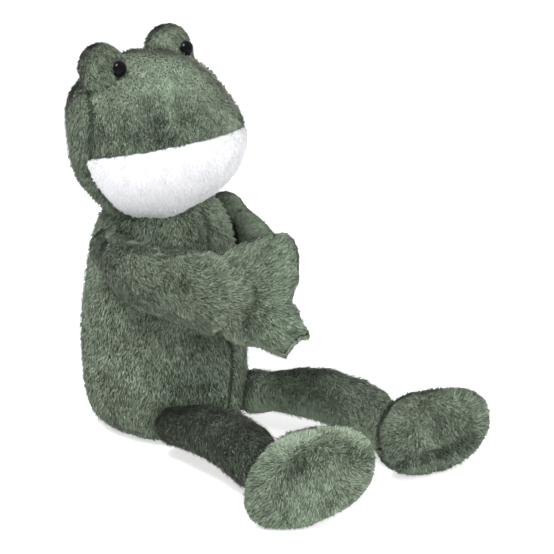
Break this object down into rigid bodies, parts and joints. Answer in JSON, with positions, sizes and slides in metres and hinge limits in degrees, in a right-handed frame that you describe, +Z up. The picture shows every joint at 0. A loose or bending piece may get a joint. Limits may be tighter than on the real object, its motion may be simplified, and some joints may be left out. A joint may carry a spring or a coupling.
{
  "type": "plush frog",
  "caption": "Stuffed frog that sits with long legs out and its webbed palms held together, with round eye domes, black bead eyes and a white muzzle panel",
  "frame": {"origin": "middle of the flat seat under the torso, on the surface that the frog sits on", "axes": "+Z up, -Y ahead, the way the frog faces, +X towards the frog's left side"},
  "size_m": [0.1728, 0.2501, 0.2353],
  "materials": {
    "green_pile": "soft pile",
    "white_looped_pile": "short loops",
    "stuffing": "loose fibre",
    "pellet_cotton": "plain weave",
    "black_bead": "gloss",
    "washer_plastic": "matte",
    "hook_and_loop_tape": "hook and loop"
  },
  "bodies": {
    "torso": {"torso_cover": "green_pile", "torso_stuffing": "stuffing", "pellet_bag": "pellet_cotton"},
    "head": {"head_cover": "green_pile", "muzzle_panel": "white_looped_pile", "head_stuffing": "stuffing", "eye_bead_left": "black_bead", "eye_bead_right": "black_bead", "eye_dome_cover_left": "green_pile", "eye_dome_cover_right": "green_pile", "eye_dome_stuffing_left": "stuffing", "eye_dome_stuffing_right": "stuffing", "eye_washer_left": "washer_plastic", "eye_washer_right": "washer_plastic"},
    "arm_right": {"arm_cover_right": "green_pile", "arm_stuffing_right": "stuffing", "palm_patch_right": "hook_and_loop_tape"},
    "leg_right": {"leg_cover_right": "green_pile", "leg_stuffing_right": "stuffing"},
    "foot_right": {"foot_upper_right": "green_pile", "foot_sole_right": "green_pile", "foot_stuffing_right": "stuffing"},
    "arm_left": {"arm_cover_left": "green_pile", "arm_stuffing_left": "stuffing", "palm_patch_left": "hook_and_loop_tape"},
    "leg_left": {"leg_cover_left": "green_pile", "leg_stuffing_left": "stuffing"},
    "foot_left": {"foot_upper_left": "green_pile", "foot_sole_left": "green_pile", "foot_stuffing_left": "stuffing"}
  },
  "joints": [
    {"name": "head_turn", "type": "hinge", "parent": "torso", "child": "head", "pos_m": [0, 0, 0.14], "axis": [0, 0, 1], "range_deg": [-40, 40]},
    {"name": "shoulder_right", "type": "hinge", "parent": "torso", "child": "arm_right", "pos_m": [-0.046, -0.005, 0.12], "axis": [0, 0, -1], "range_deg": [0, 90]},
    {"name": "shoulder_left", "type": "hinge", "parent": "torso", "child": "arm_left", "pos_m": [0.046, -0.005, 0.12], "axis": [0, 0, 1], "range_deg": [0, 90]},
    {"name": "hip_right", "type": "hinge", "parent": "torso", "child": "leg_right", "pos_m": [-0.035, -0.0455, 0.0175], "axis": [1, 0, 0], "range_deg": [-25, 75]},
    {"name": "hip_left", "type": "hinge", "parent": "torso", "child": "leg_left", "pos_m": [0.035, -0.0455, 0.0175], "axis": [1, 0, 0], "range_deg": [-25, 75]},
    {"name": "ankle_right", "type": "hinge", "parent": "leg_right", "child": "foot_right", "pos_m": [-0.04648, -0.14269, 0.01536], "axis": [1, 0, 0], "range_deg": [-15, 20]},
    {"name": "ankle_left", "type": "hinge", "parent": "leg_left", "child": "foot_left", "pos_m": [0.04401, -0.14211, 0.01798], "axis": [1, 0, 0], "range_deg": [-15, 20]}
  ]
}
